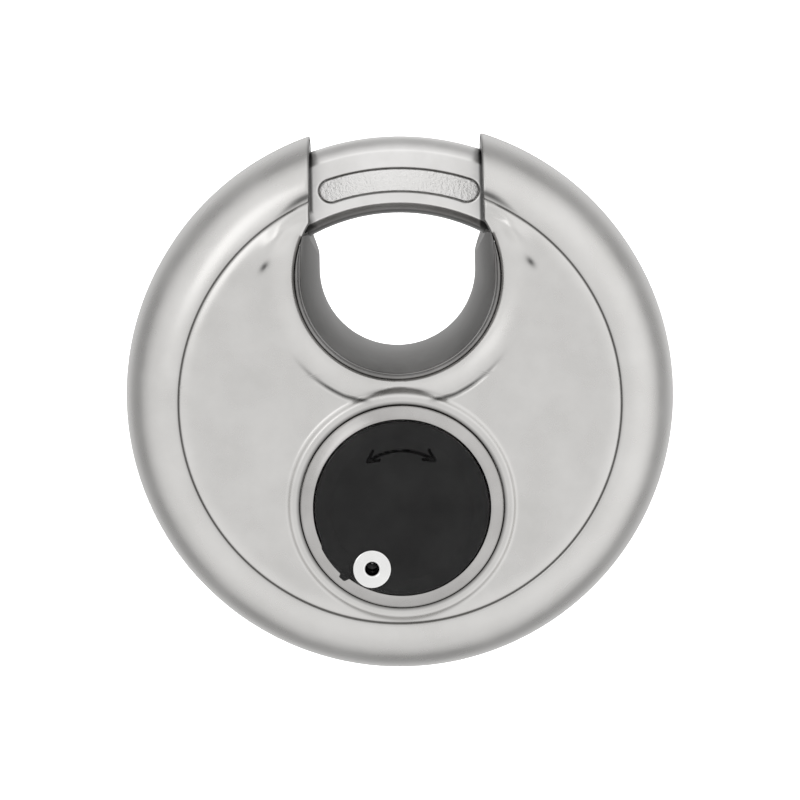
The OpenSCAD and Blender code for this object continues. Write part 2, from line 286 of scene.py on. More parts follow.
def addTurning(tree, x, y, scale):
    # rings round an axis through (x, y) in mm, as a lathe leaves them: noise of the radius alone
    coords = tree.nodes.new("ShaderNodeTexCoord")
    centre = tree.nodes.new("ShaderNodeMapping")
    centre.inputs["Location"].default_value = (-x / 1000, 0, -y / 1000)
    tree.links.new(coords.outputs["Object"], centre.inputs["Vector"])
    flat = tree.nodes.new("ShaderNodeVectorMath")
    flat.operation = "MULTIPLY"
    flat.inputs[1].default_value = (1, 0, 1)
    tree.links.new(centre.outputs["Vector"], flat.inputs[0])
    length = tree.nodes.new("ShaderNodeVectorMath")
    length.operation = "LENGTH"
    tree.links.new(flat.outputs["Vector"], length.inputs[0])
    rings = tree.nodes.new("ShaderNodeTexNoise")
    rings.noise_dimensions = "1D"
    rings.inputs["Scale"].default_value = scale
    rings.inputs["Detail"].default_value = 3.0
    tree.links.new(length.outputs["Value"], rings.inputs["W"])
    return rings.outputs["Fac"]


def steel(name, dark, light, roughLow, roughHigh, grainMm=0.35, grain=0.2, wave=0.1, rings=None):
    # satin metal: faint cloudy tint, uneven polish, fine grain, a slight waviness and painted shade where
    # the piece's marks ask for it
    material, tree, shader = nodesOf(name)
    shader.inputs["Metallic"].default_value = 1.0
    cloud = addNoise(tree, 160, 4.0)
    fine = addNoise(tree, 1000 / grainMm, 2.0)
    slow = addNoise(tree, 90, 1.0)
    colour = addTint(tree, cloud.outputs["Fac"], dark, light)
    # painted shade: near black where the piece's shade attribute says
    tree.links.new(addPaintedShade(tree, colour, (0.012, 0.012, 0.012), 1.0), shader.inputs["Base Color"])
    tree.links.new(addRange(tree, cloud.outputs["Fac"], roughLow, roughHigh), shader.inputs["Roughness"])
    heights = [(slow.outputs["Fac"], wave, 0.2), (fine.outputs["Fac"], grain, 0.02)]
    if rings:
        heights.append((addTurning(tree, *rings), 0.35, 0.02))
    addBump(tree, shader, heights)
    return material


shellSteel = steel("shell_steel", (0.66, 0.65, 0.635), (0.74, 0.73, 0.715), 0.24, 0.33)
linerSteel = steel("liner_steel", (0.22, 0.215, 0.21), (0.36, 0.355, 0.35), 0.34, 0.5, 0.25, 0.3)


def stippledSteel():
    # forged bar: rougher than the shells, with a pecked surface in the sunk panel
    dark, light = (0.8, 0.79, 0.775), (0.93, 0.92, 0.91)
    material = steel("shackle_steel", dark, light, 0.26, 0.4, grainMm=0.3, grain=0.3)
    tree = material.node_tree
    shader = tree.nodes["Principled BSDF"]
    before = shader.inputs["Normal"].links[0].from_socket
    mark = tree.nodes.new("ShaderNodeAttribute")
    mark.attribute_name = "panel"
    pecks = addNoise(tree, 2600, 3.0, 0.7)
    height = tree.nodes.new("ShaderNodeMath")
    height.operation = "MULTIPLY"
    tree.links.new(mark.outputs["Fac"], height.inputs[0])
    tree.links.new(pecks.outputs["Fac"], height.inputs[1])
    bumpNode = tree.nodes.new("ShaderNodeBump")
    bumpNode.inputs["Strength"].default_value = 1.0
    bumpNode.inputs["Distance"].default_value = 0.00016
    tree.links.new(height.outputs["Value"], bumpNode.inputs["Height"])
    tree.links.new(before, bumpNode.inputs["Normal"])
    tree.links.new(bumpNode.outputs["Normal"], shader.inputs["Normal"])
    return material


barSteel = stippledSteel()
collarRings = (0, body["cylinderY"], 7000)
collarSteel = steel("collar_steel", (0.44, 0.43, 0.42), (0.55, 0.54, 0.53), 0.22, 0.32, rings=collarRings)
rivetSteel = steel("rivet_steel", (0.86, 0.86, 0.85), (0.95, 0.95, 0.94), 0.16, 0.26)
pinSteel = steel("pin_steel", (0.60, 0.60, 0.59), (0.70, 0.70, 0.69), 0.2, 0.32)
hardSteel = steel("hard_steel", (0.16, 0.16, 0.165), (0.26, 0.26, 0.265), 0.3, 0.45)
brassMetal = steel("brass_metal", (0.72, 0.50, 0.20), (0.83, 0.62, 0.30), 0.2, 0.34)
castZinc = steel("cast_zinc", (0.30, 0.30, 0.31), (0.42, 0.42, 0.43), 0.42, 0.62, 0.6, 0.5, 0.5)


def blackPlastic():
    # moulded plastic: near black, eggshell gloss, very fine sparkle of the mould
    material, tree, shader = nodesOf("black_plastic")
    cloud = addNoise(tree, 220, 3.0)
    fine = addNoise(tree, 5200, 2.0)
    dark, light = (0.006, 0.006, 0.006), (0.010, 0.010, 0.010)
    shader.inputs["Specular IOR Level"].default_value = 0.16
    colour = addTint(tree, cloud.outputs["Fac"], dark, light)
    # painted shade: darker still where the piece's shade attribute says
    tree.links.new(addPaintedShade(tree, colour, (0.0008, 0.0008, 0.0008), 0.95), shader.inputs["Base Color"])
    tree.links.new(addRange(tree, cloud.outputs["Fac"], 0.36, 0.46), shader.inputs["Roughness"])
    addBump(tree, shader, [(fine.outputs["Fac"], 0.15, 0.02)])
    return material


coverBlack = blackPlastic()

shellDetail = {
    "holeR": collarHigh[0] - 1.3,  # hole for the collar
    "lipR": 14.4,  # raised lip round that hole
    "lipRise": 0.7,
    "funnelR": 17.0,  # where the dish round the mouth begins
    "funnelDrop": 1.25,
    "edgeRound": 0.45,
    "grooveDepth": 0.16,
    "grooveWidth": 0.17,
    "shoulderR": 25.7,  # the face starts falling towards the crease here
    "creaseFall": 0.55,
    "splitY": 2.65,  # height of the web between the mouth and the hole
    "columnsLine": 96,
    "columnsArc": 230,
    "nearEdge": [0, 0.02, 0.06, 0.13, 0.24, 0.42],
    "nearLip": [0, 0.03, 0.1, 0.22, 0.5, 0.85, 1.1, 1.25, 1.4, 1.6, 1.85],
    "nearCrease": [1.9, 1.55, 1.25, 1.0, 0.8, 0.62, 0.48, 0.36, 0.26, 0.17, 0.09, 0],
}


def creaseDrop(r):
    s = shellDetail
    t = np.clip((r - s["shoulderR"]) / (body["creaseR"] - s["shoulderR"]), 0, 1)
    return s["creaseFall"] * t**2.2


def creaseGroove(r, angle):
    # thin valley along the crease, deepening into a wedge beside the lips
    s = shellDetail
    lipNear = bump(np.radians(angle) - math.asin(mouth["neckHalf"] / body["creaseR"]), 0.05)
    width = s["grooveWidth"] * (1 + 1.6 * lipNear)
    return s["grooveDepth"] * (1 + 1.8 * lipNear) * bump(r - body["creaseR"], width)


def mouthDistance(x, y):
    # distance outside the mouth's outline, a circle with a straight neck above it
    circle = np.hypot(x, y - mouth["centreY"]) - mouth["cutR"]
    straight = np.where(y > mouth["centreY"], x - mouth["neckHalf"], np.inf)
    return np.maximum(np.minimum(circle, straight), 0)


def crescent(fromMouth, turn, width):
    # tapered crease round the dish, where the two pressed forms meet: 1 in its middle
    middle = 16.45 - 0.7 * (1 - ramp(turn, 8, 26))
    return ramp(turn, 12, 18) * (1 - ramp(turn, 30, 58)) * bump(fromMouth - middle, width)


def dentShape(x, y, length, width):
    # small slanting dent beside each lip: 1 at its middle
    along = (x - 16.7) * 0.6 + (y - 17.7) * -0.8
    across = (x - 16.7) * 0.8 + (y - 17.7) * 0.6
    return bump(along, length) * bump(across, width)


def pressedMarks(x, y):
    # what the press leaves beside each lip: a ridge on the dish's shoulder, a dent and a second crease
    along = (x - 14.7) * 0.53 + (y - 21.6) * -0.85
    across = (x - 14.7) * 0.85 + (y - 21.6) * 0.53
    ridge = 0.5 * bump(along, 2.2) * bump(across, 1.0)
    dent = 0.22 * dentShape(x, y, 0.8, 0.42)
    r = np.hypot(x, y)
    angle = np.arctan2(x, y)
    second = 0.10 * bump(r - (26.9 - 3.0 * (0.60 - angle)), 0.2) * ramp(-angle, -0.62, -0.52)
    return ridge - dent - second


def faceHeight(x, y, withHole):
    s = shellDetail
    r = np.hypot(x, y)
    fromMouth = np.hypot(x, y - mouth["centreY"])
    turn = np.degrees(np.arctan2(x, mouth["centreY"] - y))  # from straight down
    dish = np.clip((s["funnelR"] - fromMouth) / (s["funnelR"] - mouth["cutR"]), 0, 1)
    h = body["faceH"] - creaseDrop(r) - s["funnelDrop"] * dish**1.8
    h = h - creaseGroove(r, np.degrees(np.arctan2(x, y)))
    if withHole:
        h = h - 0.34 * crescent(fromMouth, turn, 0.3)
    h = h + pressedMarks(x, y)
    if withHole:
        q = np.hypot(x, y - body["cylinderY"])
        upward = ramp((y - body["cylinderY"]) / q, -0.1, 0.7)
        foot = s["lipR"] + 0.6 + 0.25 * upward  # the lip runs out more gently towards the mouth
        lip = body["faceH"] + s["lipRise"] - 1.6 * ramp(q, s["lipR"] - 0.55, foot)
        lip = lip - rollDrop(q - s["holeR"], 0.12)
        soft = 0.4
        h = 0.5 * (h + lip + np.sqrt((h - lip) ** 2 + soft**2) - soft)
    return h - rollDrop(mouthDistance(x, y), s["edgeRound"])


def fullEllipse(t, a, b):
    # a quarter of a superellipse: width and height at parameter t, 0 at the seam
    power = 2 / body["rimPower"]
    return a * np.cos(t) ** power, b * np.sin(t) ** power


def rimSurface(t, angle, depth):
    # rim at parameter t, sunk along its normal by depth
    a, b = body["discR"] - body["rimCentreR"], body["faceH"] - body["rimDrop"]
    w, h = fullEllipse(t, a, b)
    power = body["rimPower"] - 1
    nr, nh = (w / a) ** power / a, (h / b) ** power / b
    size = np.hypot(nr, nh)
    r = body["rimCentreR"] + w - depth * nr / size
    h = h - depth * nh / size
    return np.stack([r * np.sin(angle), r * np.cos(angle), np.maximum(h, 0)], axis=-1)


def innerHeight(r):
    t = np.clip((r - body["rimCentreR"]) / body["innerRim"], 0, 1)
    return (body["faceH"] - body["sheet"]) * (1 - t ** body["rimPower"]) ** (1 / body["rimPower"])


def shellHalf(withHole):
    # grids of the right half of a shell: upper face, lower face and rim, outside and inside,
    # with the strips that close the hole, the mouth, the cut end and the seam
    s = shellDetail
    crease, neck, centreY = body["creaseR"], mouth["neckHalf"], mouth["centreY"]
    cornerX = math.sqrt(crease**2 - s["splitY"] ** 2)
    lineX = cornerX * np.linspace(0, 1, s["columnsLine"]) ** 1.15
    cutAngle = math.asin(neck / crease)
    steps = np.linspace(0, 1, s["columnsArc"])
    fine = np.array([0, 0.0004, 0.0012, 0.0026, 0.0045, 0.007])
    share = np.concatenate([fine, fine[-1] + (1 - fine[-1]) * steps[1:] ** 1.05])
    arc = cutAngle + (math.pi - cutAngle) * share
    cornerAngle = math.atan2(cornerX, s["splitY"])
    nearest = np.argmin(np.abs(arc - cornerAngle))
    arc[nearest] = cornerAngle
    arcX, arcY = crease * np.sin(arc), crease * np.cos(arc)
    arcX[-1] = 0
    lineX[-1] = arcX[nearest]
    lineY = np.full_like(lineX, s["splitY"])
    lineY[-1] = arcY[nearest]

    # upper face: rays from the middle of the U
    outX = np.concatenate([lineX, arcX[:nearest][::-1]])
    outY = np.concatenate([lineY, arcY[:nearest][::-1]])
    reach = np.hypot(outX, outY - centreY)
    dirX, dirY = outX / reach, (outY - centreY) / reach
    onNeck = np.divide(neck, dirX, out=np.full_like(dirX, np.inf), where=dirX > 1e-9)
    start = np.where((dirY > 0) & (onNeck > mouth["cutR"]), onNeck, mouth["cutR"])
    start = np.minimum(start, reach)
    gap = reach - start
    near = np.array(s["nearEdge"])
    rows = rowsAcross(np.maximum(gap, 1e-9), near, s["nearCrease"], 30)
    narrow = gap < near[-1] + 0.15  # rays that end beside the cut corner
    evenRows = np.linspace(0, 1, rows.shape[0])[:, None] * gap[None, :]
    rows = np.where(narrow[None, :], evenRows, rows)
    dist = start[None, :] + rows
    ux, uy = dist * dirX, centreY + dist * dirY
    ux[-1], uy[-1] = outX, outY
    ux[0, start == onNeck] = neck
    upper = np.stack([ux, uy, faceHeight(ux, uy, withHole)], axis=-1)

    # lower face: rays from the cylinder's axis
    lowX = np.concatenate([lineX, arcX[nearest + 1:]])
    lowY = np.concatenate([lineY, arcY[nearest + 1:]])
    reach = np.hypot(lowX, lowY - body["cylinderY"])
    dirX, dirY = lowX / reach, (lowY - body["cylinderY"]) / reach
    first = s["holeR"] if withHole else 0.0
    nearRows = s["nearLip"] if withHole else [0, 1, 3, 5, 7, 9, 11, 12.5, 14]
    rows = rowsAcross(reach - first, nearRows, s["nearCrease"], 30)
    dist = first + rows
    lx, ly = dist * dirX, body["cylinderY"] + dist * dirY
    lx[-1], ly[-1] = lowX, lowY
    lower = np.stack([lx, ly, faceHeight(lx, ly, withHole)], axis=-1)

    # rim: from the crease to the seam, ending at the cut x = neckHalf
    a = body["discR"] - body["rimCentreR"]
    tTop = math.acos(((crease - body["rimCentreR"]) / a) ** (body["rimPower"] / 2))
    nearCrease = [0, 0.008, 0.017, 0.028, 0.042, 0.06, 0.085]
    shrink = np.concatenate([nearCrease, np.linspace(0.115, 0.985, 26), [0.993, 1]])
    t = tTop * (1 - shrink)[:, None]

    arcShare = (arc - cutAngle) / (math.pi - cutAngle)

    def rimAngles(radius):
        cut = np.arcsin(neck / radius)
        return cut + (math.pi - cut) * arcShare[None, :]

    def pinned(rim):
        # the first column stays in the cut's plane and the last in the mirror's, with the seam at 0
        column = np.arange(len(arc))[None, :]
        rim[..., 0] = np.where(column == 0, neck, rim[..., 0])
        rim[..., 0] = np.where(column == len(arc) - 1, 0, rim[..., 0])
        rim[-1, :, 2] = 0
        return rim

    r = body["rimCentreR"] + fullEllipse(t, a, 1)[0]
    angle = rimAngles(r)
    x = r * np.sin(angle)
    fromCut = np.where(angle < 1.5, x - neck, 9)
    depth = creaseGroove(r, np.degrees(angle)) + rollDrop(fromCut, s["edgeRound"] * 0.8)
    depth = depth + 0.14 * (1 - ramp(t, 0, 0.035))  # softened seam edge
    rim = pinned(rimSurface(t, angle, depth))
    # the crease row is the same for the face and the rim
    creaseRow = np.concatenate([upper[-1, len(lineX) - 1:][::-1], lower[-1, len(lineX):]])
    rim[0] = creaseRow

    # inside
    innerRows = [0, 4, 10, 20, 30, len(upper) - 1]
    upperIn = upper[innerRows].copy()
    upperIn[..., 2] = innerHeight(np.hypot(upperIn[..., 0], upperIn[..., 1]))
    innerRows = [0, 8, 16, 26, 36, len(lower) - 1]
    lowerIn = lower[innerRows].copy()
    lowerIn[..., 2] = innerHeight(np.hypot(lowerIn[..., 0], lowerIn[..., 1]))
    inside = body["innerRim"]
    tIn = math.acos(((crease - body["rimCentreR"]) / inside) ** (body["rimPower"] / 2))
    rIn = body["rimCentreR"] + fullEllipse(tIn * (1 - shrink)[:, None], inside, 1)[0]
    angleIn = rimAngles(rIn)
    hIn = innerHeight(rIn) + 0 * angleIn
    rimIn = pinned(np.stack([rIn * np.sin(angleIn), rIn * np.cos(angleIn), hIn], axis=-1))
    rimIn[0] = np.concatenate([upperIn[-1, len(lineX) - 1:][::-1], lowerIn[-1, len(lineX):]])

    closing = [
        np.stack([upper[0], upperIn[0]]),  # edge of the mouth
        np.stack([rim[:, 0], rimIn[:, 0]]),  # cut end of the lip
        np.stack([rim[-1], rimIn[-1]]),  # seam
    ]
    if withHole:
        closing.append(np.stack([lower[0], lowerIn[0]]))
    return [upper, lower, rim, upperIn, lowerIn, rimIn, *closing]


def shellPaintedShade(x, y, h):
    # painted shade: dark lines in the crease, the seam, the tapered creases, dents and the cut ends, and
    # over the inside
    s = shellDetail
    lipped = h > 0
    x, h = np.abs(x), np.abs(h)
    r = np.hypot(x, y)
    fromMouth = np.hypot(x, y - mouth["centreY"])
    turn = np.degrees(np.arctan2(x, mouth["centreY"] - y))
    front = h > innerHeight(r) + 0.35
    paintedShade = 0.62 * bump(r - body["creaseR"], 0.17) * front
    angle = np.arctan2(x, y)
    beside = 1 - ramp(angle, 0.42, 0.62)
    wedge = bump(r - 28.05 - 0.55 * beside, 0.12 + 0.33 * beside) * beside * (angle > 0.38)
    paintedShade = np.maximum(paintedShade, 0.85 * wedge * front)
    paintedShade = np.maximum(paintedShade, 0.9 * crescent(fromMouth, turn, 0.26) * front * lipped)
    fromHole = np.hypot(x, y - body["cylinderY"])
    foot = bump(fromHole - s["lipR"] - 0.35, 0.3) * (1 - ramp(x, 1.5, 7.0)) * ramp(x, 0.8, 2.6)
    paintedShade = np.maximum(paintedShade, 0.5 * foot * (y > body["cylinderY"]) * front * lipped)
    paintedShade = np.maximum(paintedShade, 0.7 * bump(fromHole - s["holeR"] - 0.08, 0.2) * front * lipped)
    paintedShade = np.maximum(paintedShade, 0.75 * bump(mouthDistance(x, y), 0.16) * front)
    paintedShade = np.maximum(paintedShade, 0.85 * dentShape(x, y, 0.75, 0.38) * front)
    paintedShade = np.maximum(paintedShade, 0.85 * (1 - ramp(h, 0.02, 0.2)) * (r > 34))
    paintedShade = np.maximum(paintedShade, 0.7 * (h < innerHeight(r) + 0.3) * (r < 34))
    return paintedShade


def makeShell(name, node, withHole, facing):
    grids = shellHalf(withHole)
    mirrored = [grid * np.array([-1, 1, 1]) for grid in grids]
    both = [grid * np.array([1, 1, facing]) for grid in grids + mirrored]
    marks = {"paintedShade": shellPaintedShade}
    return makePiece(name, both, shellSteel, "housing", [node], "shell_steel", sharpDeg=40, marks=marks)


makeShell("frontShell", "front_shell", True, 1)
makeShell("rearShell", "rear_shell", False, -1)

barRing = barHigh[1] + barLow[2]  # top of the bar's ring less the bar's radius

linerDetail = {
    "waistR": mouth["waistR"],
    "flare": 2.3,  # how much wider the wall is at its front than at the waist
    "flareH": 11.45,
    "wall": 1.2,
    "legs": 5.2,  # height of the straight legs above the middle of the U
    "legNotch": 2.1,  # the legs' inner edge stops here
    "barRoom": 5.35,  # radius of the space left for the bar
    "columnsU": 121,
    "columnsLeg": 13,
}


def makeLiner():
    # a waisted wall with a beaded front and back edge, carried round the U
    s = linerDetail
    rimR = mouth["rimR"]
    wallH = np.linspace(0, s["flareH"], 18)
    inner = np.stack([s["waistR"] + s["flare"] * (wallH / s["flareH"]) ** 2, wallH], axis=1)
    bead = [(12.3, 11.42), (12.4, 11.46), (12.44, 11.75), (12.46, 12.1), (12.53, 12.26), (12.66, 12.35)]
    backH = np.linspace(0, 9.9, 18)
    outer = np.stack([s["waistR"] + s["wall"] + s["flare"] * (backH / s["flareH"]) ** 2, backH], axis=1)
    skirt = [(rimR, h) for h in (10.5, 11.0, 11.5, 12.0)] + [(rimR - 0.03, 12.2), (rimR - 0.12, 12.33)]
    inner = np.concatenate([inner, np.array(bead)])
    outer = np.concatenate([outer, np.array(skirt)])
    flip = np.array([1, -1])
    inner = np.concatenate([inner[:0:-1] * flip, inner])
    outer = np.concatenate([outer[:0:-1] * flip, outer])
    outer = np.clip(outer, None, rimR)

    def carried(line):
        r, h = line[:, :1], line[:, 1:]
        turn = np.linspace(-math.pi / 2, math.pi / 2, s["columnsU"])
        x, y = r * np.sin(turn), -r * np.cos(turn)
        barInner = barRing - np.sqrt(np.maximum(s["barRoom"] ** 2 - h**2, 0))
        underBar = np.sqrt(barInner**2 - r**2) - mouth["centreY"]
        top = np.clip(s["legNotch"] + 2.3 * (r - s["waistR"]), s["legNotch"], s["legs"])
        top = np.minimum(top, np.where(np.abs(h) < s["barRoom"], underBar, 99))
        up = top * np.linspace(0, 1, s["columnsLeg"] + 1)[1:]
        tight = np.clip((r - 12.0) / (rimR - 12.0), 0, 1)  # the rim keeps inside the shell's round edge
        side = r - tight * (rimR - np.sqrt(rimR**2 - up**2))
        x = np.concatenate([-side[:, ::-1], x, side], axis=1)
        y = np.concatenate([up[:, ::-1], y, up], axis=1)
        return np.stack([x, mouth["centreY"] + y, h + 0 * x], axis=-1)

    inside, outside = carried(inner), carried(outer)
    closing = [np.stack([inside[k], outside[k]]) for k in (0, -1)]
    closing += [np.stack([inside[:, k], outside[:, k]]) for k in (0, -1)]
    grids = [inside, outside, *closing]
    makePiece("mouthLiner", grids, linerSteel, "housing", ["opening_liner"], "liner_steel")


makeLiner()

bar = {
    "radius": -barLow[2],
    "ringR": barRing,
    "noseDeg": 35.4,
    "tailDeg": 160.0,
    "flatH": 3.68,  # front flat above the bar's middle
    "crown": 0.05,
    "pillR": -0.45,  # middle of the panel, from the bar's middle
    "pillHalf": 1.62,
    "pillDeg": 18.2,
    "pillShiftDeg": 0.8,  # the panel sits a little off the middle
    "pillDepth": 0.26,
}


def panelEdge(x, y):
    # distance inside the panel's outline
    s = bar
    angle = np.abs(np.arctan2(x, y) - math.radians(s["pillShiftDeg"]))
    along = np.maximum(angle - math.radians(s["pillDeg"]), 0) * (s["ringR"] + s["pillR"])
    return s["pillHalf"] - np.hypot(along, np.hypot(x, y) - s["ringR"] - s["pillR"])


def panelMark(x, y, h):
    return ramp(panelEdge(x, y), 0.15, 0.3) * (h > 2)


def barPaintedShade(x, y, h):
    # painted shade round the panel, along the underside and where the bar runs in under the lips
    paintedShade = 0.75 * bump(panelEdge(x, y) - 0.1, 0.12) * (h > 2)
    paintedShade = np.maximum(paintedShade, 0.85 * ramp(bar["ringR"] - np.hypot(x, y), 4.1, 4.35))
    under = ramp(np.abs(x), mouth["neckHalf"] - 0.45, mouth["neckHalf"] - 0.15) * (y > 15)
    return np.maximum(paintedShade, 0.85 * under)


def barHeight(offset, angle):
    # front of the bar: flat with a faint crown, soft corners and a sunk panel with round ends
    s = bar
    drawn = np.sqrt(np.maximum(s["radius"] ** 2 - offset**2, 0))  # the round bar's own height
    flat = s["flatH"] - s["crown"] * (offset / 3.2) ** 2
    corner = np.where(offset > 0, 0.10, 0.03)
    front = 0.5 * (drawn + flat - np.sqrt((drawn - flat) ** 2 + corner**2) + corner * 0.35)
    r = s["ringR"] + offset
    edge = panelEdge(-r * np.sin(angle), r * np.cos(angle))
    sunk = s["pillDepth"] * ramp(edge, 0.0, 0.16) + 0.14 * bump(edge - 0.12, 0.11)
    return front - sunk


def makeBar():
    # the section carried round the ring, closed to a point inside each chamfered end
    s = bar
    fineTurn = np.radians(np.linspace(-30, 24, 260))
    hidden = np.radians(np.linspace(24, s["tailDeg"], 64))[1:]
    nose = np.radians(np.linspace(-s["noseDeg"], -30, 8))[:-1]
    angle = np.concatenate([nose, fineTurn, hidden])
    reach = np.array([0, 3.6, 4.5])  # end rings: middle, start of the chamfer, chamfer
    scale = np.concatenate([reach / s["radius"], np.ones(len(angle) - 2), (reach / s["radius"])[::-1]])
    chamfer = 0.5 / s["ringR"]
    first, last = angle[0], angle[-1]
    startRings = [first, first, first + chamfer * 0.3]
    endRings = [last - chamfer * 0.3, last, last]
    angle = np.concatenate([startRings, angle[1:-1], endRings])
    angle[3] = max(angle[3], angle[2] + chamfer)
    frontOffset = np.concatenate([
        np.linspace(-s["radius"], -3.5, 12)[:-1],
        np.linspace(-3.5, 3.6, 84),
        np.linspace(3.6, s["radius"], 12)[1:],
    ])
    frontOffset[[0, -1]] = -s["radius"], s["radius"]
    h = barHeight(frontOffset[:, None], angle[None, :])
    h = np.where(np.abs(frontOffset[:, None]) >= s["radius"], 0, h)
    backTurn = np.linspace(0, math.pi, 40)
    backOffset, backH = s["radius"] * np.cos(backTurn), -s["radius"] * np.sin(backTurn)
    offset = np.concatenate([frontOffset, backOffset[1:]])[:, None] * scale
    h = np.concatenate([h, np.repeat(backH[1:, None], len(angle), axis=1)]) * scale
    r = s["ringR"] + offset
    points = np.stack([-r * np.sin(angle), r * np.cos(angle), h], axis=-1)
    marks = {"panel": panelMark, "paintedShade": barPaintedShade}
    ride = ("shackle_arm", ["shackle"], "shackle_steel")
    return makePiece("shackleBar", [points], barSteel, *ride, sharpDeg=50, marks=marks)


def makeFork():
    # lug behind the bar with the slot for the crank pin, and the bar's pocket for the crank's tip
    slotHalf, half, innerR = 1.95, 4.6, 14.4
    slotEnd = 21.9
    turn = np.linspace(0, math.pi, 25)
    inX = np.concatenate([[slotHalf], slotHalf * np.cos(turn), [-slotHalf]])
    inY = np.concatenate([[innerR], slotEnd + slotHalf * np.sin(turn), [innerR]])
    share = np.linspace(0, 1, len(inX))
    outX = np.interp(share, [0, 0.33, 0.67, 1], [half, half, -half, -half])
    outY = np.interp(share, [0, 0.33, 0.67, 1], [innerR, bar["ringR"], bar["ringR"], innerR])
    low, high = 0.02 - bar["radius"], -2.5
    loop = [(inX, inY, low), (outX, outY, low), (outX, outY, high), (inX, inY, high), (inX, inY, low)]
    grid = np.stack([np.stack([x, y, np.full_like(x, h)], axis=-1) for x, y, h in loop])
    ends = [grid[:, 0].reshape(5, 1, 3), grid[:, -1].reshape(5, 1, 3)]
    caps = [np.stack([end[:2, 0], end[3:1:-1, 0]]) for end in ends]
    rest = math.radians(148)

    def turned(points):
        x, y, h = points[..., 0], points[..., 1], points[..., 2]
        across = x * math.cos(rest) - y * math.sin(rest)
        along = x * math.sin(rest) + y * math.cos(rest)
        return np.stack([across, along, h], axis=-1)

    pocket = turned(drumGrid(0, slotEnd, 2.95, -bar["radius"] - 1, -0.65))
    return makeTool([pocket]), makeTool([turned(grid), *[turned(cap) for cap in caps]])


shackleBar = makeBar()
pocketTool, forkTool = makeFork()
shapeWith(shackleBar, pocketTool, "DIFFERENCE", 50)
shapeWith(shackleBar, forkTool, "UNION", 50)
print("shackle shaped")

collar = {
    "x": 0.0,
    "y": body["cylinderY"],
    "wallR": collarHigh[0] - 1.4,
    "topR": coverHigh[0] + 0.4,
    "topH": collarHigh[2],
    "floorH": 12.35,
    "boreR": 5.6,
    "flangeR": collarHigh[0],
}
rivet = {
    "x": (rivetLow[0] + rivetHigh[0]) / 2,
    "y": (rivetLow[1] + rivetHigh[1]) / 2,
    "headR": (rivetHigh[0] - rivetLow[0]) / 2,
    "topH": rivetHigh[2],
    "holeR": 0.75,
    "shankR": 1.25,
}


def makeCollar():
    # turned ring: flange, wall, rounded cone, sunk floor with a bore, and the rivet's boss
    s = collar
    cone = np.linspace(0, 1, 9)
    coneR = s["wallR"] - 0.1 - cone * (s["wallR"] - 0.1 - s["topR"])
    coneH = s["topH"] - 0.75 * (1 - cone) ** 1.25 - 0.02
    lowH = 9.95
    profile = [(s["boreR"], lowH), (s["flangeR"], lowH), (s["flangeR"], 10.8)]
    profile += [(s["flangeR"] - 0.1, 10.88), (s["wallR"], 10.88)]
    profile += [(s["wallR"], 13.2), (s["wallR"] - 0.03, 13.42)]
    profile += list(zip(coneR, coneH))
    innerEdge = [(0.08, 0), (0.17, 0.03), (0.23, 0.12), (0.25, 0.3), (0.25, 1.75)]
    profile += [(s["topR"] - inward, s["topH"] - fall) for inward, fall in innerEdge]
    profile += [(s["topR"] - 0.5, s["floorH"]), (s["boreR"] + 0.25, s["floorH"]), (s["boreR"], 12.1)]
    rings = latheGrid(s["x"], s["y"], profile, 288)
    ride = ("housing", ["cylinder_collar"], "collar_steel")
    piece = makePiece("collarRing", [rings], collarSteel, *ride, sharpDeg=40)
    bossH = s["topH"] - 0.25
    steps = [
        (2.7, s["floorH"] - 0.5, bossH, "UNION"),  # boss
        (rivet["shankR"] + 0.02, lowH - 1, bossH + 1, "DIFFERENCE"),  # hole for the shank
        (1.9, lowH - 1, lowH + 0.9, "DIFFERENCE"),  # pocket for the tail
    ]
    for radius, low, high, operation in steps:
        drum = drumGrid(rivet["x"], rivet["y"], radius, low, high)
        shapeWith(piece, makeTool([drum]), operation, 40)


makeCollar()


def makeRivet():
    # hollow rivet: turned head with fine rings and a countersunk hole, flared tail
    s = rivet
    faceR = np.linspace(1.15, s["headR"] - 0.16, 34)
    faceH = s["topH"] - 0.012 + 0.012 * np.cos(2 * math.pi * faceR / 0.2)
    washH = s["topH"] - 0.35
    profile = [(0.1, 10.4), (0.1, 10.0), (1.8, 10.0), (1.6, 10.8), (s["shankR"], 10.85)]
    profile += [(s["shankR"], washH), (s["headR"] - 0.04, washH), (s["headR"], washH + 0.06)]
    profile += [(s["headR"], s["topH"] - 0.14), (s["headR"] - 0.05, s["topH"] - 0.05)]
    profile += list(zip(faceR[::-1], faceH[::-1]))
    profile += [(1.05, s["topH"] - 0.03), (0.9, s["topH"] - 0.16), (0.8, s["topH"] - 0.3)]
    profile += [(s["holeR"], s["topH"] - 0.45), (s["holeR"], 11.0), (0.12, 10.9)]

    def holePaintedShade(x, y, h):
        # painted shade inside the rivet's hole
        return 1 - ramp(np.hypot(x - s["x"], y - s["y"]), 0.78, 0.95)

    grid = latheGrid(s["x"], s["y"], profile, 128)
    marks = {"paintedShade": holePaintedShade}
    makePiece("rivetHead", [grid], rivetSteel, "housing", ["cover_rivet"], "rivet_steel", marks=marks)


makeRivet()

cover = {
    "x": 0.0,
    "y": body["cylinderY"],
    "radius": coverHigh[0],
    "backH": coverLow[2],
    "topH": coverHigh[2],
    "bevel": 2.0,
    "edge": 0.9,  # thickness at the edge
    "earOut": 0.4,
    "tabOut": 0.42,
    "rivetDeg": math.degrees(math.atan2(rivet["y"] - body["cylinderY"], rivet["x"])) % 360,
    "arrowR": 7.4,
    "arrowDeg": 33.0,
    "barbDeg": 28,  # spread of each head's strokes
    "barb": 1.5,
    "arrowWidth": 0.12,
    "arrowDepth": 0.25,
}


